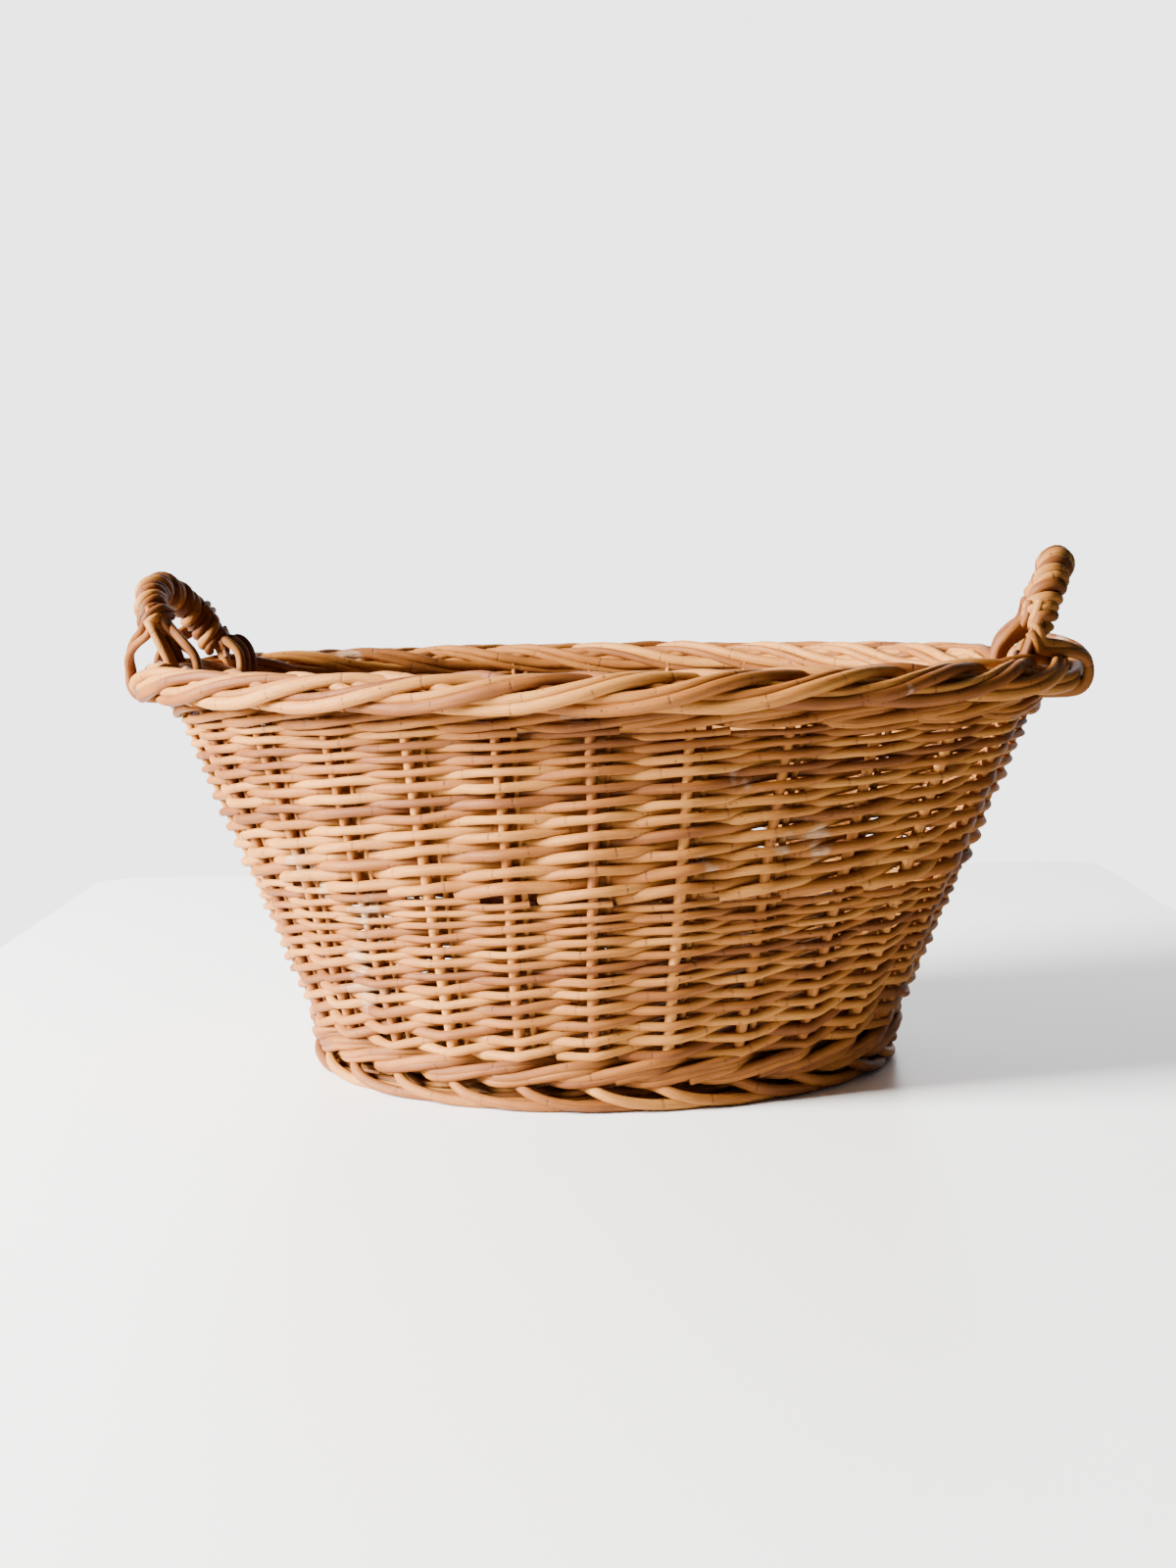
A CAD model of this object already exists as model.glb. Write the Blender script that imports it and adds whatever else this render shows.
"""An oval woven willow laundry basket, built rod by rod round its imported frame."""

import math

import bpy
import numpy as np
from mathutils import Matrix, Vector


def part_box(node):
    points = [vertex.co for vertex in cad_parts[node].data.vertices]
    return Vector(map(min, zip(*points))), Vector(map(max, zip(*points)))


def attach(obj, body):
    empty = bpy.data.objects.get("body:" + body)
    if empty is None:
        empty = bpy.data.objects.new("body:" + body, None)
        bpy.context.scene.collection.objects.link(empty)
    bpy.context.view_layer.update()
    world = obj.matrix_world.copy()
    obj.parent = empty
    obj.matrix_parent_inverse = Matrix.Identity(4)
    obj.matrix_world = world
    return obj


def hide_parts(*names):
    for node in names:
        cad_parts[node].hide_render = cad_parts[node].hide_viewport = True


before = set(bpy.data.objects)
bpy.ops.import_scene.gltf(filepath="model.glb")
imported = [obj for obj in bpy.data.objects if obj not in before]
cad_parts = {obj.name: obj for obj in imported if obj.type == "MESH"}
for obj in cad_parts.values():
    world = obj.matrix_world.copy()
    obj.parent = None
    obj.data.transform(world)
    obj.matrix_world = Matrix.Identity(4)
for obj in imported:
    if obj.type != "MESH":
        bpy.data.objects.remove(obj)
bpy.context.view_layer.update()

bl_info = {
    "name": "Willow Laundry Basket",
    "version": (1, 0, 0),
    "blender": (4, 5, 0),
    "location": "View3D > Sidebar > Basket",
    "description": "Weaves an oval willow laundry basket rod by rod",
    "category": "Add Mesh",
}

BODY = "root"
STAKE_NODES = sorted(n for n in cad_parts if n.startswith("stake_"))
STAKES = len(STAKE_NODES)
SEED = 26


# ---------------------------------------------------------------- the wall that the rods follow


class Oval:
    """An upright-axis ellipse, read by the share of its length from the front."""

    SAMPLES = 2880

    def __init__(self, half_length, half_width):
        turn = np.linspace(-math.pi / 2, 1.5 * math.pi, self.SAMPLES + 1)
        self.a, self.b, self.turn = half_length, half_width, turn
        steps = np.hypot(np.diff(half_length * np.cos(turn)), np.diff(half_width * np.sin(turn)))
        self.run = np.concatenate([[0], np.cumsum(steps)])
        self.length = self.run[-1]

    def angle(self, share):
        whole = np.floor(share)
        return np.interp((share - whole) * self.length, self.run, self.turn)

    def point(self, share):
        t = self.angle(share)
        return np.stack([self.a * np.cos(t), self.b * np.sin(t)], -1)

    def outward(self, share):
        t = self.angle(share)
        n = np.stack([np.cos(t) / self.a, np.sin(t) / self.b], -1)
        return n / np.linalg.norm(n, axis=-1, keepdims=True)


class Wall:
    """The flared stake line between the foot and the rim, with u counted in stakes."""

    HALF_THICKNESS = 0.009

    def __init__(self):
        low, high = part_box("lower_rand")[1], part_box("upper_rand")[1]
        rise = high.z - low.z
        self.flare = ((high.x - low.x) / rise, (high.y - low.y) / rise)
        self.at_low = (low.x - self.HALF_THICKNESS, low.y - self.HALF_THICKNESS)
        self.low_z = low.z
        self.z0, self.z1 = 0.017, 0.28
        self.bottom = Oval(*self.half(self.z0))
        self.top = Oval(*self.half(self.z1))

    def half(self, z):
        return tuple(h + f * (z - self.low_z) for h, f in zip(self.at_low, self.flare))

    def point(self, u, z, out=0.0, side=0.0):
        """Points at stake count u and height z, moved outwards from the wall and sideways along it."""
        u, z, out, side = np.broadcast_arrays(*(np.asarray(v, float) for v in (u, z, out, side)))
        share = (u + 0.5) / STAKES
        k = ((z - self.z0) / (self.z1 - self.z0))[..., None]
        low, high = self.bottom.point(share), self.top.point(share)
        n = self.bottom.outward(share) * (1 - k) + self.top.outward(share) * k
        n = n / np.linalg.norm(n, axis=-1, keepdims=True)
        lean = np.sum((high - low) * n, -1) / (self.z1 - self.z0)
        tilt = 1 / np.sqrt(1 + lean**2)
        along = np.stack([-n[..., 1], n[..., 0]], -1)
        flat = low + (high - low) * k + n * (out * tilt)[..., None] + along * side[..., None]
        return np.concatenate([flat, (z - out * tilt * lean)[..., None]], -1)


class Rim:
    """The section that the plaited rim goes round, carried round an oval."""

    def __init__(self):
        low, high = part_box("rim_border")
        self.low, self.high = low, high
        self.width = 0.048
        self.oval = Oval(high.x - self.width / 2, high.y - self.width / 2)

    def point(self, u, out, z):
        share = (np.asarray(u, float) + 0.5) / STAKES
        flat = self.oval.point(share) + self.oval.outward(share) * np.asarray(out)[..., None]
        return np.concatenate([flat, np.asarray(z, float)[..., None]], -1)


WALL = Wall()
RIM = Rim()


# ---------------------------------------------------------------- settings


class BasketSizes(bpy.types.PropertyGroup):
    """Sizes of the rods."""

    stake: bpy.props.FloatProperty(
        name="Stake",
        description="Thickness of a stake",
        default=0.0075,
        subtype="DISTANCE",
        unit="LENGTH",
    )
    bye_stake: bpy.props.FloatProperty(
        name="Bye-stake",
        description="Thickness of a bye-stake",
        default=0.0046,
        subtype="DISTANCE",
        unit="LENGTH",
    )
    lower_butt: bpy.props.FloatProperty(
        name="Lower butt",
        description="Thick end of a rod of the lower block",
        default=0.0072,
        subtype="DISTANCE",
        unit="LENGTH",
    )
    lower_tip: bpy.props.FloatProperty(
        name="Lower tip",
        description="Thin end of a rod of the lower block",
        default=0.0046,
        subtype="DISTANCE",
        unit="LENGTH",
    )
    upper_butt: bpy.props.FloatProperty(
        name="Upper butt",
        description="Thick end of a rod of the upper block",
        default=0.0080,
        subtype="DISTANCE",
        unit="LENGTH",
    )
    upper_tip: bpy.props.FloatProperty(
        name="Upper tip",
        description="Thin end of a rod of the upper block",
        default=0.0048,
        subtype="DISTANCE",
        unit="LENGTH",
    )
    wale_rod: bpy.props.FloatProperty(
        name="Wale rod",
        description="Thickness of a rod of the wales",
        default=0.0068,
        subtype="DISTANCE",
        unit="LENGTH",
    )
    foot_rod: bpy.props.FloatProperty(
        name="Foot rod",
        description="Thickness of a rod of the foot border",
        default=0.0076,
        subtype="DISTANCE",
        unit="LENGTH",
    )
    rim_rod: bpy.props.FloatProperty(
        name="Rim rod",
        description="Thickness of the thick rod of a rim pair",
        default=0.0086,
        subtype="DISTANCE",
        unit="LENGTH",
    )
    rim_thin_rod: bpy.props.FloatProperty(
        name="Thin rim rod",
        description="Thickness of the thin rod of a rim pair",
        default=0.0064,
        subtype="DISTANCE",
        unit="LENGTH",
    )
    base_rod: bpy.props.FloatProperty(
        name="Base rod",
        description="Thickness of a rod of the base weaving",
        default=0.0042,
        subtype="DISTANCE",
        unit="LENGTH",
    )
    rope_rod: bpy.props.FloatProperty(
        name="Roping rod",
        description="Thickness of a rod of the handle roping",
        default=0.0086,
        subtype="DISTANCE",
        unit="LENGTH",
    )


class BasketColours(bpy.types.PropertyGroup):
    """Colours of the willow."""

    pale: bpy.props.FloatVectorProperty(
        name="Pale", description="Palest rods", default=(0.435, 0.182, 0.036), subtype="COLOR", size=3
    )
    honey: bpy.props.FloatVectorProperty(
        name="Honey", description="Most of the rods", default=(0.29, 0.102, 0.0165), subtype="COLOR", size=3
    )
    russet: bpy.props.FloatVectorProperty(
        name="Russet", description="Darkest rods", default=(0.14, 0.042, 0.0075), subtype="COLOR", size=3
    )
    scar: bpy.props.FloatVectorProperty(
        name="Scar", description="Scars and specks", default=(0.035, 0.012, 0.005), subtype="COLOR", size=3
    )
    worn: bpy.props.FloatVectorProperty(
        name="Worn", description="Whitish worn patches", default=(0.46, 0.34, 0.22), subtype="COLOR", size=3
    )
    floor: bpy.props.FloatVectorProperty(
        name="Floor", description="The pale floor", default=(0.97, 0.97, 0.97), subtype="COLOR", size=3
    )


def sizes():
    return bpy.context.scene.basket_sizes


def colours():
    return bpy.context.scene.basket_colours


# ---------------------------------------------------------------- materials


class Nodes:
    """A short hand for building a node tree."""

    def __init__(self, tree):
        self.tree = tree

    def add(self, kind, ins=None, **settings):
        node = self.tree.nodes.new(kind)
        for key, value in settings.items():
            setattr(node, key, value)
        for key, value in (ins or {}).items():
            socket = node.inputs[key]
            if isinstance(value, bpy.types.NodeSocket):
                self.tree.links.new(value, socket)
            else:
                socket.default_value = value
        return node

    def math(self, operation, a, b=0.0, clamp=False):
        return self.add("ShaderNodeMath", {0: a, 1: b}, operation=operation, use_clamp=clamp).outputs[0]

    def noise(self, vector, scale, detail=2.0, rough=0.5):
        ins = {"Vector": vector, "Scale": scale, "Detail": detail, "Roughness": rough}
        return self.add("ShaderNodeTexNoise", ins).outputs["Fac"]

    def band(self, value, low, high, to_low=0.0, to_high=1.0):
        ins = {"Value": value, "From Min": low, "From Max": high, "To Min": to_low, "To Max": to_high}
        return self.add("ShaderNodeMapRange", ins).outputs[0]

    def mix(self, fac, a, b, blend="MIX"):
        node = self.tree.nodes.new("ShaderNodeMix")
        node.data_type = "RGBA"
        node.blend_type = blend
        for index, value in ((0, fac), (6, a), (7, b)):
            if isinstance(value, bpy.types.NodeSocket):
                self.tree.links.new(value, node.inputs[index])
            else:
                node.inputs[index].default_value = value
        return node.outputs[2]


def rgba(colour, gain=1.0):
    return tuple(min(1.0, c * gain) for c in colour) + (1.0,)


def willow(name, gain=1.0, rough=0.5, tint_shift=0.0):
    """Willow: each rod has its own tone, with lengthwise grain, specks, bud scars and worn patches."""
    material = bpy.data.materials.new(name)
    material.use_nodes = True
    tree = material.node_tree
    tree.nodes.clear()
    n = Nodes(tree)
    c = colours()
    place = n.add("ShaderNodeTexCoord").outputs["Object"]
    tint = n.add("ShaderNodeAttribute", attribute_name="tint").outputs["Fac"]
    grain_at = n.add("ShaderNodeAttribute", attribute_name="grain").outputs["Vector"]
    run = n.add("ShaderNodeAttribute", attribute_name="run").outputs["Fac"]

    # Each rod's tone, drifting a little along and around it.
    drift = n.noise(place, 22.0, 3.0)
    streak = n.noise(grain_at, 2.6, 4.0, 0.65)
    fine = n.noise(grain_at, 9.0, 3.0, 0.7)
    tone = n.math("ADD", tint, n.math("MULTIPLY", n.math("SUBTRACT", drift, 0.5), 0.9))
    tone = n.math("ADD", tone, n.math("MULTIPLY", n.math("SUBTRACT", streak, 0.5), 0.75))
    tone = n.math("ADD", tone, tint_shift, clamp=True)
    base = n.mix(n.band(tone, 0.1, 0.55), rgba(c.pale, gain), rgba(c.honey, gain))
    base = n.mix(n.band(tone, 0.6, 1.0), base, rgba(c.russet, gain))
    base = n.mix(n.band(fine, 0.4, 0.7, 0.0, 0.56), base, rgba(c.russet, gain))

    # Bud scars: thin dark rings at uneven steps along the rod, strongest on one side of it.
    step = n.math("ADD", n.math("MULTIPLY", run, 19.0), n.math("MULTIPLY", tint, 7.3))
    ring = n.math("ABSOLUTE", n.math("SUBTRACT", n.math("FRACT", step), 0.5))
    ring = n.band(ring, 0.0, 0.024, 1.0, 0.0)
    ring = n.math("MULTIPLY", ring, n.band(streak, 0.42, 0.6))
    specks = n.band(n.noise(place, 420.0, 1.0), 0.69, 0.74)
    patches = n.band(n.noise(place, 38.0, 2.0), 0.5, 0.62)
    specks = n.math("MULTIPLY", specks, patches)
    marks = n.math("MAXIMUM", n.math("MULTIPLY", ring, 0.75), n.math("MULTIPLY", specks, 0.8))
    base = n.mix(marks, base, rgba(c.scar))

    # Whitish rubbed patches where the basket has been handled and knocked.
    rub = n.band(n.noise(place, 11.0, 4.0, 0.7), 0.635, 0.70)
    rub = n.math("MULTIPLY", rub, n.band(n.noise(grain_at, 6.0, 3.0), 0.4, 0.6, 0.15, 0.75))
    base = n.mix(rub, base, rgba(c.worn))

    height = n.math("ADD", n.math("MULTIPLY", fine, 0.5), n.math("MULTIPLY", streak, 0.6))
    height = n.math("SUBTRACT", height, n.math("MULTIPLY", marks, 0.7))
    bump = n.add("ShaderNodeBump", {"Strength": 0.7, "Distance": 0.0009, "Height": height})
    shine = n.band(streak, 0.3, 0.7, rough - 0.05, rough + 0.14)
    shader = n.add(
        "ShaderNodeBsdfPrincipled",
        {"Base Color": base, "Roughness": shine, "Normal": bump.outputs[0], "Specular IOR Level": 0.16},
    )
    n.add("ShaderNodeOutputMaterial", {"Surface": shader.outputs[0]})
    return material


def floor_finish():
    material = bpy.data.materials.new("pale_floor")
    material.use_nodes = True
    shader = material.node_tree.nodes["Principled BSDF"]
    shader.inputs["Base Color"].default_value = rgba(colours().floor)
    shader.inputs["Roughness"].default_value = 0.3
    shader.inputs["Specular IOR Level"].default_value = 0.35
    return material


# ---------------------------------------------------------------- rods


def rod_tree():
    """Geometry nodes that turn paths into willow rods: swelling at the buds, a wavering line, capped ends."""
    name = "willow_rods"
    if name in bpy.data.node_groups:
        return bpy.data.node_groups[name]
    tree = bpy.data.node_groups.new(name, "GeometryNodeTree")
    face = tree.interface
    face.new_socket("Geometry", in_out="INPUT", socket_type="NodeSocketGeometry")
    face.new_socket("Sides", in_out="INPUT", socket_type="NodeSocketInt")
    face.new_socket("Waver", in_out="INPUT", socket_type="NodeSocketFloat")
    face.new_socket("Swelling", in_out="INPUT", socket_type="NodeSocketFloat")
    face.new_socket("Bud spacing", in_out="INPUT", socket_type="NodeSocketFloat")
    face.new_socket("Seed", in_out="INPUT", socket_type="NodeSocketInt")
    face.new_socket("Material", in_out="INPUT", socket_type="NodeSocketMaterial")
    face.new_socket("Geometry", in_out="OUTPUT", socket_type="NodeSocketGeometry")
    n = Nodes(tree)
    given = n.add("NodeGroupInput").outputs

    def store(geometry, title, value, domain, kind):
        ins = {"Geometry": geometry, "Name": title, "Value": value}
        return n.add("GeometryNodeStoreNamedAttribute", ins, domain=domain, data_type=kind).outputs[0]

    # Each rod's own tone, and the distance along it.
    number = n.add("GeometryNodeInputIndex").outputs[0]
    tint = n.add(
        "FunctionNodeRandomValue", {"ID": number, "Seed": given["Seed"]}, data_type="FLOAT"
    ).outputs[1]
    curves = store(given["Geometry"], "tint", tint, "CURVE", "FLOAT")
    run = n.add("GeometryNodeSplineParameter").outputs["Length"]
    curves = store(curves, "run", run, "POINT", "FLOAT")
    tone = n.add("GeometryNodeInputNamedAttribute", {"Name": "tint"}, data_type="FLOAT").outputs["Attribute"]

    # The line wavers a little, and the rod swells at its buds.
    place = n.add("GeometryNodeInputPosition").outputs[0]
    shifted = n.add("ShaderNodeVectorMath", {0: place, 1: tone}, operation="ADD").outputs[0]
    stir = n.add("ShaderNodeTexNoise", {"Vector": shifted, "Scale": 28.0, "Detail": 1.0}).outputs["Color"]
    centred = n.add("ShaderNodeVectorMath", {0: stir, 1: (0.5, 0.5, 0.5)}, operation="SUBTRACT").outputs[0]
    push = n.add("ShaderNodeVectorMath", {0: centred, "Scale": given["Waver"]}, operation="SCALE").outputs[0]
    curves = n.add("GeometryNodeSetPosition", {"Geometry": curves, "Offset": push}).outputs[0]
    step = n.math("ADD", n.math("DIVIDE", run, given["Bud spacing"]), n.math("MULTIPLY", tone, 7.3))
    bud = n.math("ABSOLUTE", n.math("SUBTRACT", n.math("FRACT", step), 0.5))
    bud = n.math("MULTIPLY", n.band(bud, 0.0, 0.09, 1.0, 0.0), given["Swelling"])
    uneven = n.math("SUBTRACT", n.noise(shifted, 60.0, 1.0), 0.5)
    uneven = n.math("MULTIPLY", uneven, n.math("MULTIPLY", given["Swelling"], 2.0))
    grow = n.math("ADD", n.math("ADD", bud, 1.0), uneven)
    thick = n.math("MULTIPLY", n.add("GeometryNodeInputRadius").outputs[0], grow)
    curves = n.add("GeometryNodeSetCurveRadius", {"Curve": curves, "Radius": thick}).outputs[0]

    # The round section, which also says where round the rod a point is.
    ins = {"Resolution": given["Sides"], "Radius": 1.0}
    section = n.add("GeometryNodeCurvePrimitiveCircle", ins).outputs[0]
    section = store(section, "round_at", place, "POINT", "FLOAT_VECTOR")
    ins = {"Curve": curves, "Profile Curve": section, "Fill Caps": True}
    sweep = n.tree.nodes.new("GeometryNodeCurveToMesh")
    for key, value in ins.items():
        if isinstance(value, bpy.types.NodeSocket):
            tree.links.new(value, sweep.inputs[key])
        else:
            sweep.inputs[key].default_value = value
    if "Scale" in sweep.inputs:
        tree.links.new(n.add("GeometryNodeInputRadius").outputs[0], sweep.inputs["Scale"])
    mesh = sweep.outputs[0]

    # Grain coordinates: round the rod, and slowly along it, with every rod's start moved.
    ring = n.add("GeometryNodeInputNamedAttribute", {"Name": "round_at"}, data_type="FLOAT_VECTOR")
    parts = n.add("ShaderNodeSeparateXYZ", {0: ring.outputs["Attribute"]}).outputs
    length = n.add("GeometryNodeInputNamedAttribute", {"Name": "run"}, data_type="FLOAT").outputs["Attribute"]
    depth = n.math("ADD", n.math("MULTIPLY", length, 9.0), n.math("MULTIPLY", tone, 40.0))
    grain = n.add("ShaderNodeCombineXYZ", {0: parts[0], 1: parts[1], 2: depth}).outputs[0]
    mesh = store(mesh, "grain", grain, "POINT", "FLOAT_VECTOR")
    mesh = n.add("GeometryNodeSetShadeSmooth", {"Geometry": mesh}).outputs[0]
    mesh = n.add("GeometryNodeRealizeInstances", {"Geometry": mesh}).outputs[0]
    mesh = n.add("GeometryNodeSetMaterial", {"Geometry": mesh, "Material": given["Material"]}).outputs[0]
    n.add("NodeGroupOutput", {"Geometry": mesh})
    return tree


class Rods:
    """Paths of rods, gathered and then made into one piece."""

    def __init__(self, name, seed=0):
        self.name, self.seed, self.paths = name, seed, []

    def add(self, points, radii):
        points = np.asarray(points, float)
        radii = np.broadcast_to(np.asarray(radii, float), (len(points),))
        self.paths.append((points, radii))

    def build(self, material, replaces, sides=12, waver=0.0016, swelling=0.05, bud=0.07):
        """Turn the paths into one mesh that takes the place of the named CAD nodes."""
        curve = bpy.data.curves.new(self.name, "CURVE")
        curve.dimensions = "3D"
        for points, radii in self.paths:
            spline = curve.splines.new("POLY")
            spline.points.add(len(points) - 1)
            four = np.concatenate([points, np.ones((len(points), 1))], 1)
            spline.points.foreach_set("co", four.ravel())
            spline.points.foreach_set("radius", np.array(radii, np.float64))
        source = bpy.data.objects.new(self.name + "_paths", curve)
        bpy.context.scene.collection.objects.link(source)
        weave = source.modifiers.new("rods", "NODES")
        weave.node_group = rod_tree()
        values = {
            "Sides": sides,
            "Waver": waver,
            "Swelling": swelling,
            "Bud spacing": bud,
            "Seed": SEED + self.seed,
            "Material": material,
        }
        for item in weave.node_group.interface.items_tree:
            if item.in_out == "INPUT" and item.name in values:
                weave[item.identifier] = values[item.name]
        graph = bpy.context.evaluated_depsgraph_get()
        mesh = bpy.data.meshes.new_from_object(source.evaluated_get(graph), depsgraph=graph)
        mesh.name = self.name
        bpy.data.objects.remove(source)
        bpy.data.curves.remove(curve)
        if "round_at" in mesh.attributes:
            mesh.attributes.remove(mesh.attributes["round_at"])
        piece = bpy.data.objects.new(self.name, mesh)
        bpy.context.scene.collection.objects.link(piece)
        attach(piece, BODY)
        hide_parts(*replaces)


def randomness(name):
    """A generator of its own for each piece, so that the pieces don't depend on each other's order."""
    return np.random.default_rng(SEED + sum(ord(letter) for letter in name))


def slow_noise(rng, count, step, size):
    """A smooth random line of the given length, with a new random value every step points."""
    knots = int(count / step) + 4
    at = np.arange(count) / step
    coarse = rng.normal(0, size, knots)
    k = at.astype(int)
    f = at - k
    f = f * f * (3 - 2 * f)
    return coarse[k] * (1 - f) + coarse[k + 1] * f


def zigzag(x, sharp=0.985):
    """Swings between 1 at the even stakes and -1 at the odd ones, straight between and bent sharply there."""
    return np.arcsin(sharp * np.cos(math.pi * x)) / math.asin(sharp)


def smooth(points, times=2):
    """Rounds the corners of a path by cutting them."""
    points = np.asarray(points, float)
    for _ in range(times):
        cut = np.empty((2 * len(points) - 2,) + points.shape[1:])
        cut[0::2] = 0.75 * points[:-1] + 0.25 * points[1:]
        cut[1::2] = 0.25 * points[:-1] + 0.75 * points[1:]
        points = np.concatenate([points[:1], cut, points[-1:]])
    return points


# ---------------------------------------------------------------- pieces of the wall


STAKE_FOOT = 0.022  # length of a stake's foot, inwards from its bend
CORE_Z = 0.279  # the stakes end at this height, inside the rim
POINTS_PER_STAKE = 8  # points of a woven rod's path from one stake to the next
UPSETT_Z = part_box("upsett_wale")
TOP_WALE_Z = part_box("top_wale")
# The stakes just before the two end ones, where a bow's leg takes the bye-stake's place.
HANDLE_STAKES = [STAKES // 4 - 1, 3 * STAKES // 4 - 1]


def make_stakes(material):
    """One piece for each stake: its slyped foot in the base, the bend, and the upright."""
    for i, node in enumerate(STAKE_NODES):
        rng = randomness(node)
        r = sizes().stake / 2 * rng.uniform(0.94, 1.06)
        foot = WALL.point([i, i], [WALL.z0, WALL.z0 + 0.0005], [-STAKE_FOOT, -0.006])
        z = np.linspace(WALL.z0 + 0.006, CORE_Z, 18)
        wander = slow_noise(rng, len(z), 5, 0.0007)
        upright = WALL.point(i, z, 0.0014 + slow_noise(rng, len(z), 6, 0.0003), wander)
        path = smooth(np.concatenate([foot, upright]), 2)
        along = np.linspace(0, 1, len(path))
        radii = r * (1.06 - 0.14 * along)
        radii[:3] *= (0.45, 0.7, 0.9)
        rods = Rods(node + "_rod", seed=i)
        rods.add(path, radii)
        rods.build(material, [node], sides=16, waver=0.0008, bud=0.062)


BYE_SIDE = np.array([0.0092, 0.0112])  # a bye-stake's distance from its stake, low and high
BYE_IN = 0.0022  # and how far it stands inside the stake line


def make_bye_stakes(material):
    """A thinner rod beside each stake, but for the two where a bow's leg stands instead."""
    rods = Rods("bye_stake_rods", seed=40)
    rng = randomness(rods.name)
    for i in range(STAKES):
        if i in HANDLE_STAKES:
            continue
        z = np.linspace(UPSETT_Z[1].z - 0.006, CORE_Z, 16)
        apart = np.linspace(*BYE_SIDE, len(z)) + slow_noise(rng, len(z), 5, 0.0006)
        path = WALL.point(i, z, -BYE_IN, apart)
        path = smooth(path, 1)
        rods.add(path, sizes().bye_stake / 2 * rng.uniform(0.85, 1.12) * np.linspace(1.05, 0.9, len(path)))
    rods.build(material, ["bye_stakes"], sides=12, waver=0.0008)


def rand_block(name, node, z_low, z_high, length, butt, tip, crowd, dips, material, seed):
    """A block of French rand: one rod starts at each stake, and goes in front of one and behind one."""
    rods = Rods(name, seed=seed)
    rng = randomness(name)
    count = length * POINTS_PER_STAKE + 1
    s = np.linspace(0, 1, count)
    rise = (1 + crowd) * s - crowd * s**2
    layer = (z_high - z_low) / length * (1 + crowd * (1 - 2 * s))
    stake_r = sizes().stake / 2
    x = np.linspace(-1, length - 1, count)
    swing = zigzag(x)
    for i in range(STAKES):
        scale = rng.uniform(0.88, 1.13)
        r = (butt + (tip - butt) * s**0.85) / 2 * scale
        reach = stake_r * 0.9 + r * 0.8 + slow_noise(rng, count, 8, 0.0004)
        out = swing * np.where(swing > 0, reach, reach + 0.0012)
        r = r * (0.95 + 0.15 * (1 - swing))
        dip = (dips[0] + (dips[1] - dips[0]) * s) * layer * (1 - swing)
        climb = (rise - rise[POINTS_PER_STAKE]) / (1 - rise[POINTS_PER_STAKE])
        z = z_low + r[0] * 0.8 + (z_high - z_low - r[0] * 0.8 - tip / 2) * climb + dip
        z = z + slow_noise(rng, count, 7, 0.0006)
        keep = x >= -1 + rng.uniform(0.05, 0.45)
        keep[-rng.integers(2, 7) :] = False
        shift = slow_noise(rng, count, 8, 0.025)
        path = WALL.point((i + x + shift)[keep], z[keep], out[keep])
        rods.add(path, r[keep])
    rods.build(material, [node], sides=12, waver=0.0026, swelling=0.1, bud=0.075)


# How much higher a rod runs behind a stake than in front of it, in double layers, at its butt and its tip.
LOWER_DIPS = (0.38, -0.25)
UPPER_DIPS = (-0.23, -0.16)
LOWER_LENGTH, LOWER_CROWD = 24, 0.2  # stakes that a rod passes, and how much its thin end closes up
UPPER_LENGTH, UPPER_CROWD = 22, 0.28


def make_lower_rand(material):
    low = UPSETT_Z[1].z
    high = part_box("lower_rand")[1].z
    s = sizes()
    length, butt, tip = LOWER_LENGTH, s.lower_butt, s.lower_tip
    rand_block(
        "lower_rand_rods", "lower_rand", low, high, length, butt, tip, LOWER_CROWD, LOWER_DIPS, material, 50
    )


def make_upper_rand(material):
    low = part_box("lower_rand")[1].z
    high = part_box("upper_rand")[1].z + 0.003
    s = sizes()
    length, butt, tip = UPPER_LENGTH, s.upper_butt, s.upper_tip
    rand_block(
        "upper_rand_rods", "upper_rand", low, high, length, butt, tip, UPPER_CROWD, UPPER_DIPS, material, 60
    )


UPSETT_ROUNDS, TOP_ROUNDS = 2.4, 1.7


def three_rod_wale(name, node, z_low, z_high, rounds, thick, material, seed):
    """Three rods in turn, each in front of two stakes and behind one, going up in a spiral."""
    rods = Rods(name, seed=seed)
    rng = randomness(name)
    turn = int(rounds * STAKES)
    count = turn * POINTS_PER_STAKE + 1
    half_rise = thick * 0.78
    low = z_low + half_rise + thick / 2
    high = z_high - half_rise - thick / 2
    for k in range(3):
        x = np.linspace(0, turn, count)
        phase = 2 * math.pi * x / 3
        swing = (4 * np.cos(phase) + 1) / 3
        swing = np.tanh(1.6 * swing) / math.tanh(1.6)
        r = thick / 2 * (1 + slow_noise(rng, count, 40, 0.07))
        out = swing * (sizes().stake / 2 + r * 0.95)
        z = low + (high - low) * x / turn + half_rise * np.sin(phase) + slow_noise(rng, count, 9, 0.0005)
        rods.add(WALL.point(x + k + 0.3, z, out + 0.0005), r)
    rods.build(material, [node], sides=12, waver=0.0018, swelling=0.06)


def make_upsett_wale(material):
    low, high = UPSETT_Z
    thick = sizes().wale_rod
    z_low, z_high = low.z - 0.001, high.z + 0.004
    three_rod_wale("upsett_wale_rods", "upsett_wale", z_low, z_high, UPSETT_ROUNDS, thick, material, 70)


def make_top_wale(material):
    low, high = TOP_WALE_Z
    thick = sizes().wale_rod * 0.87
    z_low, z_high = low.z - 0.0045, high.z + 0.003
    three_rod_wale("top_wale_rods", "top_wale", z_low, z_high, TOP_ROUNDS, thick, material, 71)


# ---------------------------------------------------------------- borders


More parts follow.
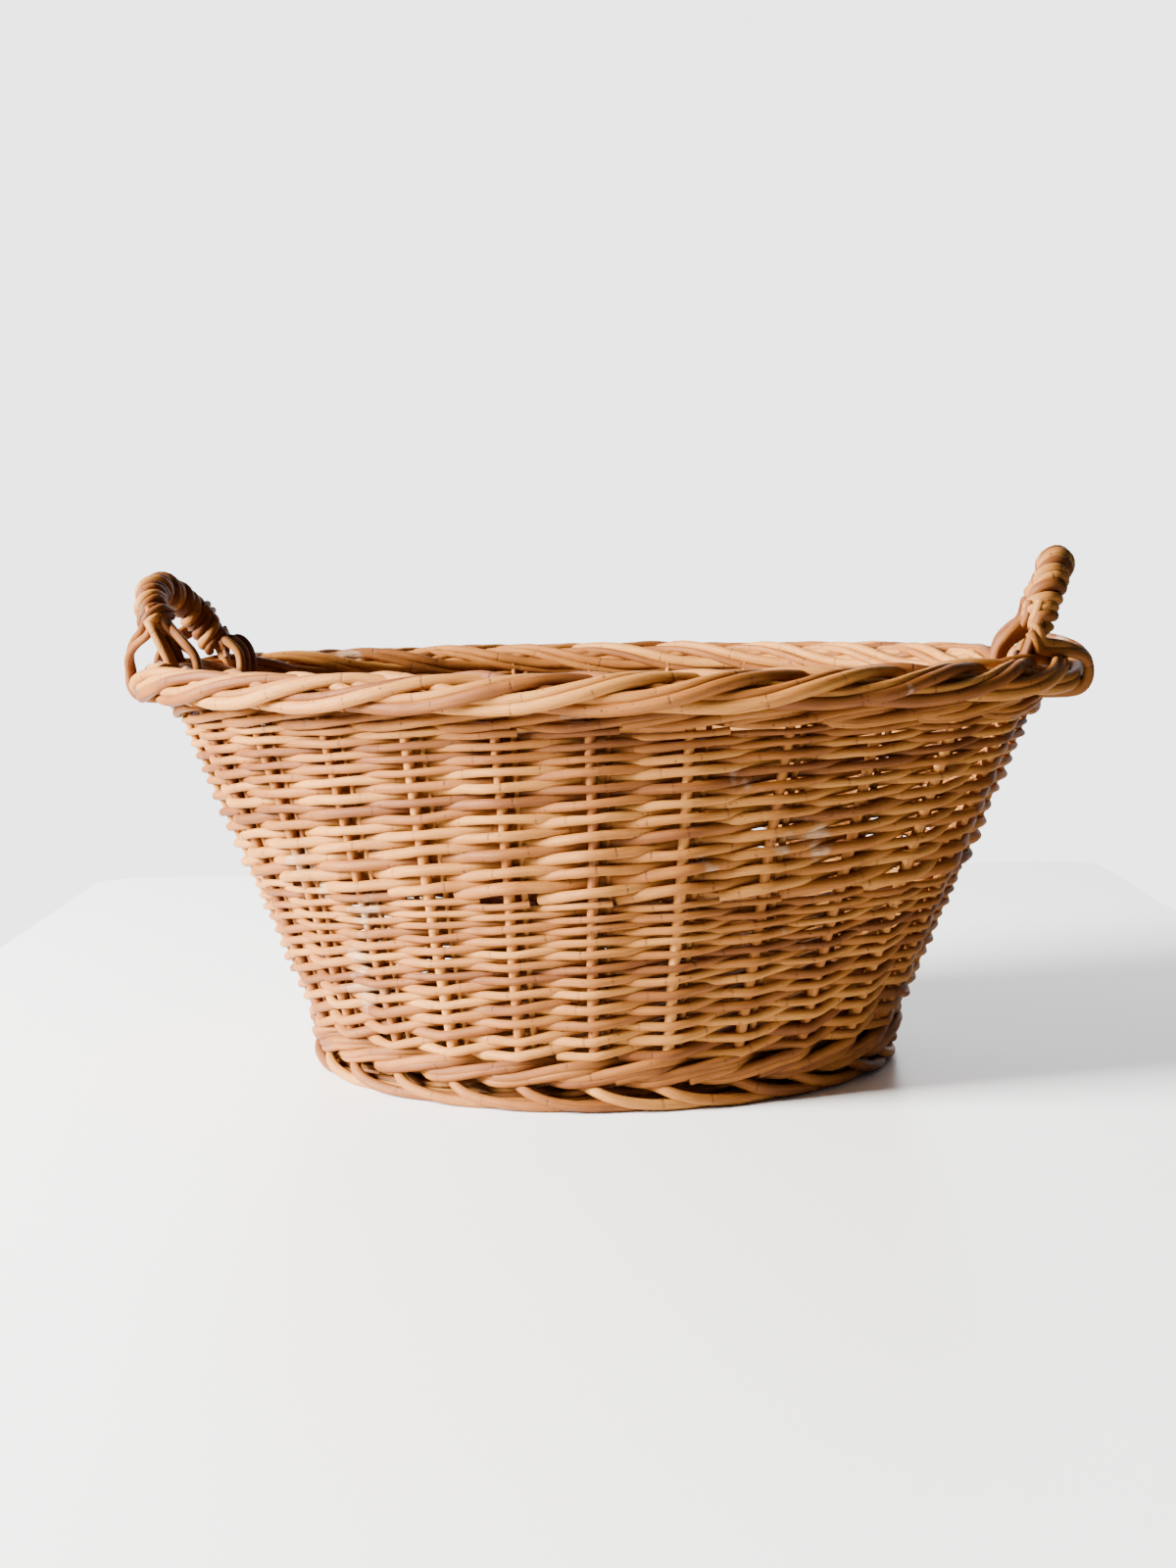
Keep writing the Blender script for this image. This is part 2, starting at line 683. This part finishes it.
PLAIT_PERIOD = 7.0  # stakes that a strand passes before it is back where it was
PLAIT_CORE = 0.0152  # mean radius of the strands round the rim's middle line
PLAIT_DEPTH = 0.0043  # how far they go in and out of each other
PLAIT_REACH = math.radians(102)  # how far round the section a strand swings
PLAIT_SQUASH = 0.84  # the section's height over its width
PLAIT_Z = 0.0068  # height of the middle line over the rim's underside
PLAIT_POINTS = 11  # points of a strand from one stake to the next


def plait_line(i, p, lift=0.0, lateral=0.0):
    """A strand of the plait, p stakes after stake i. Lateral moves it sideways along the plait's surface."""
    swing = np.cos(2 * math.pi * p / PLAIT_PERIOD)
    depth = np.sin(4 * math.pi * p / PLAIT_PERIOD)
    radius = PLAIT_CORE + PLAIT_DEPTH * depth + lift
    angle = PLAIT_REACH * swing - lateral / radius
    out = radius * np.sin(angle)
    z = RIM.low.z + PLAIT_Z + radius * np.cos(angle) * PLAIT_SQUASH
    return RIM.point(i + p, out, z)


def make_rim_plait(material):
    """A plait of pairs of rods, a thick one and a thin one for each stake."""
    rods = Rods("rim_plait", seed=80)
    rng = randomness(rods.name)
    for i in range(STAKES):
        p = np.linspace(-0.55, PLAIT_PERIOD - 0.35, int(PLAIT_PERIOD * PLAIT_POINTS))
        count = len(p)
        thick = sizes().rim_rod / 2 * rng.uniform(0.9, 1.08)
        thin = sizes().rim_thin_rod / 2 * rng.uniform(0.85, 1.15)
        lift = slow_noise(rng, count, 18, 0.0004)
        tuck = np.clip((-p) / 0.55, 0, 1) * -0.004
        taper = np.linspace(1.06, 0.84, count)
        shift = slow_noise(rng, count, 24, 0.0006)
        rods.add(plait_line(i, p, lift + tuck, -thin + shift), thick * taper)
        rods.add(plait_line(i + 0.02, p, lift + tuck + (thin - thick) * 0.6, thick + shift), thin * taper)
    rods.build(material, ["rim_border"], sides=12, waver=0.002, bud=0.11)


FOOT_ROUTE = [  # stakes along, height, distance out from the wall line
    (-0.34, 0.0175, -0.0080),
    (-0.14, 0.0165, 0.0000),
    (0.02, 0.0145, 0.0075),
    (0.20, 0.0105, 0.0120),
    (0.50, 0.0066, 0.0135),
    (0.90, 0.0044, 0.0130),
    (1.40, 0.0036, 0.0105),
    (1.90, 0.0034, 0.0050),
    (2.40, 0.0036, -0.0025),
    (2.80, 0.0050, -0.0095),
    (3.10, 0.0075, -0.0140),
    (3.60, 0.0095, -0.0155),
    (4.20, 0.0095, -0.0155),
]


def make_foot_border(material):
    """One rod for each stake, rolled out and down to the floor, and back in under the next stakes."""
    rods = Rods("foot_border_rods", seed=90)
    rng = randomness(rods.name)
    route = smooth(FOOT_ROUTE, 3)
    count = len(route)
    for i in range(STAKES):
        thick = sizes().foot_rod / 2 * rng.uniform(0.9, 1.08)
        out = route[:, 2] + slow_noise(rng, count, 20, 0.0006)
        z = np.maximum(route[:, 1], thick * 1.04)
        path = WALL.point(i + route[:, 0] + rng.uniform(-0.08, 0.08), z)
        share = (i + route[:, 0] + 0.5) / STAKES
        path[:, :2] += WALL.bottom.outward(share) * out[:, None]
        rods.add(path, thick * np.linspace(1.03, 0.9, count))
    rods.build(material, ["foot_border"], sides=12, waver=0.0008, swelling=0.04)


# ---------------------------------------------------------------- base


LONG_STICKS, CROSS_STICKS = 4, 7
LONG_PITCH, CROSS_PITCH = 0.009, 0.046
LONG_STICK_R, CROSS_STICK_R = 0.0036, 0.0052
STICK_POINTS = 40
FIRST_ROW = 0.024


def make_base_sticks(material, z):
    """Long sticks that run through the cross sticks and splay towards the two ends."""
    low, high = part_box("base_long_sticks")
    sticks = Rods("base_long_stick_rods", seed=100)
    x = np.linspace(low.x, high.x, STICK_POINTS)
    splay = 1 + 3.2 * np.clip((np.abs(x) - 0.11) / 0.06, 0, 1) ** 2
    for k in range(LONG_STICKS):
        y = (k - (LONG_STICKS - 1) / 2) * LONG_PITCH
        sticks.add(np.stack([x, y * splay, np.full(STICK_POINTS, z)], 1), LONG_STICK_R)
    sticks.build(material, ["base_long_sticks"], sides=12)

    reach_x, reach_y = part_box("base_weave")[1].x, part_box("base_cross_sticks")[1].y
    crosses = Rods("base_cross_stick_rods", seed=101)
    for k in range(CROSS_STICKS):
        x0 = (k - (CROSS_STICKS - 1) / 2) * CROSS_PITCH
        half = reach_y * math.sqrt(1 - (x0 / reach_x) ** 2)
        y = np.linspace(-half, half, STICK_POINTS)
        crosses.add(np.stack([np.full(STICK_POINTS, x0), y, np.full(STICK_POINTS, z)], 1), CROSS_STICK_R)
    crosses.build(material, ["base_cross_sticks"], sides=14, waver=0.001)


def make_base(material):
    """The sticks, and rows of weaving that start as a long loop and end as an oval against the stakes."""
    low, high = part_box("base_cross_sticks")
    z = (low.z + high.z) / 2
    make_base_sticks(material, z)
    rows = Rods("base_weave_rods", seed=102)
    rng = randomness(rows.name)
    thick = sizes().base_rod
    edge_x, edge_y = (half - 0.006 for half in WALL.half(WALL.z0))
    inner = (CROSS_STICKS - 1) / 2 * CROSS_PITCH
    row_count = int((edge_y - FIRST_ROW) / (thick * 0.98))
    turn = np.linspace(0, 2 * math.pi, 301)[:-2]
    c, s = np.cos(turn), np.sin(turn)
    for row in range(row_count):
        k = row / (row_count - 1)
        reach = FIRST_ROW + (edge_y - FIRST_ROW) * k
        square = 2.6 - 0.6 * k
        x = np.sign(c) * np.abs(c) ** (2 / square) * (inner + (edge_x - inner) * k)
        y = np.sign(s) * np.abs(s) ** (2 / square) * reach
        passed = np.interp(np.abs(x), [0, inner + 0.001], [0, (CROSS_STICKS - 1) / 2])
        passed = passed + np.clip(1 - np.abs(y) / reach, 0, 1) * LONG_STICKS / 2 * (np.abs(x) > inner)
        wave = np.cos(math.pi * (passed + row))
        rows.add(np.stack([x, y, z + wave * thick * 0.95], 1), thick / 2 * rng.uniform(0.88, 1.1))
    rows.build(material, ["base_weave"], sides=8, waver=0.0014)


# ---------------------------------------------------------------- handles


LEG_SIDE = 0.008  # a leg stands this far beside its stake
BOW_IN = 0.006  # and comes out of the rim this far inside the stake line
ROPE_STRANDS = 3
# Degrees from a bow's top at which its roping ends, towards -Y and +Y.
ROPE_END = {"right": {-1: 74, 1: 76}, "left": {-1: 62, 1: 84}}


class Bow:
    """A handle's arch: its middle line, and frames along it."""

    def __init__(self, end):
        self.sign = 1 if end == "right" else -1
        low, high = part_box("handle_bow_" + end)
        rod = 0.008
        self.radius = high.y - rod / 2
        self.rod_r = rod / 2
        self.stake = HANDLE_STAKES[0 if end == "right" else 1] + 1
        top_x = max(abs(low.x), abs(high.x)) - rod / 2
        top_z = high.z - rod / 2
        self.leg_z = low.z

        def foot_at(lean):
            """Where the arch springs from the wall for a lean, and how far its top misses the right place."""
            z = top_z - self.radius * math.cos(lean)
            x = abs(self.leg(1, np.array([z]))[0][0])
            return x, z, x + self.radius * math.sin(lean) - top_x

        leans = np.radians(np.linspace(5, 45, 401))
        lean = min(leans, key=lambda a: abs(foot_at(a)[2]))
        x, self.spring_z, _ = foot_at(lean)
        self.up = np.array([self.sign * math.sin(lean), 0, math.cos(lean)])
        self.foot = np.array([self.sign * x, 0, self.spring_z])
        self.face = np.cross(self.up, (0, 1, 0))

    def leg(self, way, z):
        """Points of the leg that stands beside the next stake, towards +Y or -Y."""
        side = way * self.sign
        inwards = BOW_IN * (z - self.leg_z) / (RIM.high.z - self.leg_z)
        line = WALL.point(self.stake + side, z, 0.0, -side * LEG_SIDE)
        line[:, 0] -= self.sign * inwards
        return line

    def at(self, angle):
        """The middle line at an angle from the top, towards +Y."""
        angle = np.asarray(angle, float)[..., None]
        return self.foot + self.radius * (np.cos(angle) * self.up + np.sin(angle) * np.array([0, 1, 0]))

    def round_it(self, angle, turn, radius):
        """A point on a tube of that radius round the middle line."""
        angle = np.asarray(angle, float)[..., None]
        turn = np.asarray(turn, float)[..., None]
        outward = np.cos(angle) * self.up + np.sin(angle) * np.array([0, 1, 0])
        radius = np.asarray(radius, float)
        radius = radius[..., None] if radius.ndim else radius
        return self.at(angle[..., 0]) + radius * (np.cos(turn) * outward + np.sin(turn) * self.face)

    def run_down(self, way, turn, radius):
        """From the roping's end down beside a leg and into the rim."""
        end = ROPE_END["right" if self.sign > 0 else "left"][way]
        arc = self.round_it(way * np.radians(np.linspace(end + 6, 88, 4)), turn, radius)
        leg = self.leg(way, np.array([self.spring_z, RIM.high.z - 0.008]))
        return np.concatenate([arc, [arc[-1] + leg[1] - leg[0]]])


def make_bow(end, material):
    """A bow: two legs down beside the stakes, and the arch between them."""
    bow = Bow(end)
    z = np.linspace(bow.leg_z, bow.spring_z - 0.006, 9)
    arch = bow.at(np.radians(np.linspace(-88, 88, 29)))
    path = np.concatenate([bow.leg(-1, z), arch, bow.leg(1, z)[::-1]])
    rods = Rods("handle_bow_" + end + "_rod", seed=110 + bow.sign)
    rods.add(smooth(path, 1), bow.rod_r)
    rods.build(material, ["handle_bow_" + end], sides=14, waver=0.0004)


def make_roping(end, material):
    """Rods wound slantwise side by side round the bow, their ends run down beside its legs into the rim."""
    bow = Bow(end)
    r = sizes().rope_rod / 2
    rods = Rods("handle_roping_" + end + "_rods", seed=120 + bow.sign)
    rng = randomness(rods.name)
    first, last = -math.radians(ROPE_END[end][-1]), math.radians(ROPE_END[end][1])
    turns = (last - first) * bow.radius / (2 * r * ROPE_STRANDS * 0.93)
    for k in range(ROPE_STRANDS):
        steps = int(turns * 20)
        angle = np.linspace(first, last, steps) + slow_noise(rng, steps, 18, 0.016)
        turn = -2 * math.pi * (turns * np.linspace(0, 1, steps) + k / ROPE_STRANDS)
        radius = bow.rod_r + r * 0.98 + slow_noise(rng, steps, 6, 0.0008)
        thick = r * (1.06 - 0.08 * k) * (1 + slow_noise(rng, steps, 16, 0.06))
        path = bow.round_it(angle, turn, radius)
        if k < 2:
            front = bow.run_down(-1, turn[0], bow.rod_r + r * 0.7)
            back = bow.run_down(1, turn[-1], bow.rod_r + r * 0.7)
            path = np.concatenate([front[::-1], path, back])
            thick = np.concatenate([np.full(len(front), r * 0.72), thick, np.full(len(back), r * 0.72)])
        rods.add(path, thick)
    rods.build(material, ["handle_roping_" + end], sides=12, waver=0.0006)


def rim_x(y, side):
    """How far out a rod that lies on the rim's outer or inner face is at a given y."""
    middle = RIM.oval.a * math.sqrt(1 - (y / RIM.oval.b) ** 2)
    return middle + side * (RIM.width / 2 + 0.0038)


def make_lashing(end, way, material):
    """Two rods that cross the leg, go round the rim's outside and in under it, and three over its inside."""
    side = "back" if way > 0 else "front"
    bow = Bow(end)
    node = "lashing_" + end + "_" + side
    low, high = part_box(node)
    rods = Rods(node + "_rods", seed=130 + way + 5 * bow.sign)
    rng = randomness(rods.name)
    s = bow.sign
    inner_x = min(abs(low.x), abs(high.x)) + 0.0045
    under_z = low.z + 0.0035
    middle_z = (low.z + high.z) / 2
    y_mid = abs(low.y + high.y) / 2
    rope_end = ROPE_END[end][way]
    over_leg = bow.rod_r + 0.0034
    if end == "right":
        tail_angles, tail_turns, tail_r = np.array([77, 80, 83, 87]), [20, -15, -45, -72], 0.0037
    else:
        tail_angles, tail_turns, tail_r = np.array([50, 54, 58, 62]), [118, 64, 6, -48], 0.0030
    for k in range(2):
        y = y_mid + (0.0038 if k else -0.0038)
        lift = np.interp(tail_angles + 6 * k, [rope_end - 6, rope_end + 2], [sizes().rope_rod, 0.0])
        tail = bow.round_it(
            way * np.radians(tail_angles + 6 * k), s * np.radians(tail_turns), over_leg + lift * 0.75
        )
        outer = rim_x(y, 1) - 0.0008 + 0.0012 * k
        begin, end_at = tail[-1], np.array([s * (outer - 0.0006), way * y, middle_z + 0.003])
        bulge = np.array([s * 0.005, 0, 0.003])
        route = list(tail) + [
            begin * 0.62 + end_at * 0.38 + bulge,
            begin * 0.25 + end_at * 0.75 + bulge,
            end_at,
            (s * outer, way * y, middle_z - 0.006),
            (s * (outer - 0.004), way * y, under_z + 0.003),
            (s * (outer - 0.014), way * y, under_z),
            (s * (outer - 0.030), way * y, under_z),
            (s * (inner_x + 0.010), way * y, under_z + 0.001),
        ]
        rods.add(smooth(route, 3), tail_r * rng.uniform(0.97, 1.07))
    wrap_y = abs(bow.at(way * math.radians(rope_end + 2))[1])
    for k in range(3):
        y = wrap_y + 0.006 - 0.0068 * k
        inner = rim_x(y, -1)
        route = [
            bow.round_it(way * math.radians(rope_end - 10), s * math.radians(108 - 46 * k), over_leg + 0.003),
            bow.round_it(way * math.radians(rope_end + 2), s * math.radians(98 - 40 * k), over_leg + 0.001),
            (s * (inner + 0.010 + 0.003 * k), way * y, high.z + 0.004),
            (s * (inner + 0.0010), way * y, high.z - 0.006),
            (s * (inner - 0.0005), way * y, middle_z),
            (s * (inner + 0.0040), way * y, under_z + 0.003),
        ]
        rods.add(smooth(route, 3), 0.0034 * rng.uniform(0.9, 1.06))
    rods.build(material, [node], sides=12, waver=0.0006)


# ---------------------------------------------------------------- stage


# The camera's place and turn, with the basket turned away from it by VIEW_TURN.
VIEW_DISTANCE = 1.68
VIEW_HEIGHT = 0.3665
VIEW_TURN = math.radians(10)
VIEW_PITCH = 0.1003
VIEW_ROLL = -0.0181
VIEW_SIDE = -0.0095
LENS = 52.77


def make_camera():
    data = bpy.data.cameras.new("camera")
    data.lens = LENS
    data.sensor_width = 36.0
    camera = bpy.data.objects.new("camera", data)
    c, s = math.cos(VIEW_TURN), math.sin(VIEW_TURN)
    camera.location = (
        c * VIEW_SIDE + s * VIEW_DISTANCE,
        s * VIEW_SIDE - c * VIEW_DISTANCE,
        VIEW_HEIGHT,
    )
    camera.rotation_mode = "YXZ"
    turn = Matrix.Rotation(VIEW_TURN, 4, "Z") @ Matrix.Rotation(math.pi / 2 - VIEW_PITCH, 4, "X")
    turn = turn @ Matrix.Rotation(VIEW_ROLL, 4, "Z")
    camera.rotation_euler = turn.to_euler("YXZ")
    bpy.context.scene.collection.objects.link(camera)
    bpy.context.scene.camera = camera


def area_light(name, place, aim, size, power, colour):
    data = bpy.data.lights.new(name, "AREA")
    data.shape = "RECTANGLE"
    data.size, data.size_y = size
    data.energy = power
    data.color = colour
    light = bpy.data.objects.new(name, data)
    light.location = place
    way = Vector(aim) - Vector(place)
    light.rotation_euler = way.to_track_quat("-Z", "Y").to_euler()
    bpy.context.scene.collection.objects.link(light)


def view_place(right, back, up):
    """A place given to the right of, behind and above the basket, as seen from the camera."""
    c, s = math.cos(VIEW_TURN), math.sin(VIEW_TURN)
    return (c * right - s * back, s * right + c * back, up)


def flat_sheet(name, corners, material):
    mesh = bpy.data.meshes.new(name)
    mesh.from_pydata(corners, [], [list(range(len(corners)))])
    mesh.materials.append(material)
    sheet = bpy.data.objects.new(name, mesh)
    bpy.context.scene.collection.objects.link(sheet)


TABLE_HALF_WIDTH = 0.575
TABLE_BACK = 0.97
TABLE_FRONT = -1.6
TABLE_CORNER = 0.05


def make_table():
    """A pale table top with round corners, flush with the foot."""
    corners = []
    r = TABLE_CORNER
    for x, y, start in (
        (TABLE_HALF_WIDTH - r, TABLE_BACK - r, 0),
        (-TABLE_HALF_WIDTH + r, TABLE_BACK - r, 90),
        (-TABLE_HALF_WIDTH + r, TABLE_FRONT + r, 180),
        (TABLE_HALF_WIDTH - r, TABLE_FRONT + r, 270),
    ):
        for step in range(9):
            t = math.radians(start + 90 * step / 8)
            corners.append(view_place(x + r * math.cos(t), y + r * math.sin(t), 0.0))
    flat_sheet("floor", corners, floor_finish())


def make_backdrop():
    """A bright wall behind the table."""
    material = bpy.data.materials.new("bright_wall")
    material.use_nodes = True
    tree = material.node_tree
    tree.nodes.clear()
    n = Nodes(tree)
    glow = n.add("ShaderNodeEmission", {"Color": (0.975, 0.985, 1.0, 1.0), "Strength": 3.5})
    n.add("ShaderNodeOutputMaterial", {"Surface": glow.outputs[0]})
    corners = [view_place(x, 3.2, z) for x, z in ((-2.6, -2.2), (2.6, -2.2), (2.6, 2.6), (-2.6, 2.6))]
    flat_sheet("backdrop", corners, material)


WINDOW_PLACE = (-3.15, -0.8, 1.35)
WINDOW_AIM = (0, 0, 0.12)
WINDOW_SIZE = (1.4, 1.4)
WINDOW_POWER = 1380
WINDOW_COLOUR = (1.0, 0.975, 0.94)


def make_stage():
    make_table()
    make_backdrop()
    world = bpy.data.worlds.new("room")
    bpy.context.scene.world = world
    world.use_nodes = True
    back = world.node_tree.nodes["Background"]
    back.inputs["Color"].default_value = (1.0, 0.97, 0.93, 1)
    back.inputs["Strength"].default_value = 0.11
    area_light("window", view_place(*WINDOW_PLACE), WINDOW_AIM, WINDOW_SIZE, WINDOW_POWER, WINDOW_COLOUR)
    make_camera()


# ---------------------------------------------------------------- operators


def materials():
    """The willow finishes by name, made once."""
    wanted = {
        "woven_willow": dict(gain=1.0, rough=0.5),
        "upright_willow": dict(gain=1.1, rough=0.54, tint_shift=-0.05),
        "rim_willow": dict(gain=1.06, rough=0.5, tint_shift=-0.02),
        "foot_willow": dict(gain=0.95, rough=0.5, tint_shift=0.05),
        "handle_willow": dict(gain=0.84, rough=0.52, tint_shift=0.14),
        "base_willow": dict(gain=0.9, rough=0.55),
    }
    return {name: bpy.data.materials.get(name) or willow(name, **how) for name, how in wanted.items()}


class BASKET_OT_stage(bpy.types.Operator):
    """Set the pale floor, the lights and the camera"""

    bl_idname = "basket.stage"
    bl_label = "Stage"

    def execute(self, context):
        make_stage()
        return {"FINISHED"}


class BASKET_OT_base(bpy.types.Operator):
    """Make the sticks and the weaving of the base"""

    bl_idname = "basket.base"
    bl_label = "Base"

    def execute(self, context):
        make_base(materials()["base_willow"])
        return {"FINISHED"}


class BASKET_OT_stakes(bpy.types.Operator):
    """Set up the stakes and the bye-stakes beside them"""

    bl_idname = "basket.stakes"
    bl_label = "Stakes"

    def execute(self, context):
        make_stakes(materials()["upright_willow"])
        make_bye_stakes(materials()["upright_willow"])
        return {"FINISHED"}


class BASKET_OT_foot(bpy.types.Operator):
    """Roll the foot border and work the upsett wale over it"""

    bl_idname = "basket.foot"
    bl_label = "Foot"

    def execute(self, context):
        make_foot_border(materials()["foot_willow"])
        make_upsett_wale(materials()["woven_willow"])
        return {"FINISHED"}


class BASKET_OT_siding(bpy.types.Operator):
    """Weave the two blocks of the wall and the wale that closes them"""

    bl_idname = "basket.siding"
    bl_label = "Siding"

    def execute(self, context):
        make_lower_rand(materials()["woven_willow"])
        make_upper_rand(materials()["woven_willow"])
        make_top_wale(materials()["woven_willow"])
        return {"FINISHED"}


class BASKET_OT_rim(bpy.types.Operator):
    """Plait the rim"""

    bl_idname = "basket.rim"
    bl_label = "Rim"

    def execute(self, context):
        make_rim_plait(materials()["rim_willow"])
        return {"FINISHED"}


class BASKET_OT_handles(bpy.types.Operator):
    """Set in the handle bows, rope them and lash them to the rim"""

    bl_idname = "basket.handles"
    bl_label = "Handles"

    def execute(self, context):
        finish = materials()["handle_willow"]
        for end in ("right", "left"):
            make_bow(end, finish)
            make_roping(end, finish)
            for way in (-1, 1):
                make_lashing(end, way, finish)
        return {"FINISHED"}


OPERATORS = (
    BASKET_OT_stage,
    BASKET_OT_base,
    BASKET_OT_stakes,
    BASKET_OT_foot,
    BASKET_OT_siding,
    BASKET_OT_rim,
    BASKET_OT_handles,
)


class BASKET_PT_panel(bpy.types.Panel):
    """Basket panel"""

    bl_idname = "BASKET_PT_panel"
    bl_label = "Basket"
    bl_space_type = "VIEW_3D"
    bl_region_type = "UI"
    bl_category = "Basket"

    def draw(self, context):
        for group in (context.scene.basket_sizes, context.scene.basket_colours):
            for name in group.__annotations__:
                self.layout.prop(group, name)
        for operator in OPERATORS:
            self.layout.operator(operator.bl_idname)


CLASSES = (BasketSizes, BasketColours) + OPERATORS + (BASKET_PT_panel,)


def register():
    for cls in CLASSES:
        bpy.utils.register_class(cls)
    bpy.types.Scene.basket_sizes = bpy.props.PointerProperty(type=BasketSizes)
    bpy.types.Scene.basket_colours = bpy.props.PointerProperty(type=BasketColours)


def unregister():
    del bpy.types.Scene.basket_colours
    del bpy.types.Scene.basket_sizes
    for cls in reversed(CLASSES):
        bpy.utils.unregister_class(cls)


def main():
    register()
    bpy.ops.basket.stage()
    bpy.ops.basket.base()
    bpy.ops.basket.stakes()
    bpy.ops.basket.foot()
    bpy.ops.basket.siding()
    bpy.ops.basket.rim()
    bpy.ops.basket.handles()


if __name__ == "__main__":
    main()
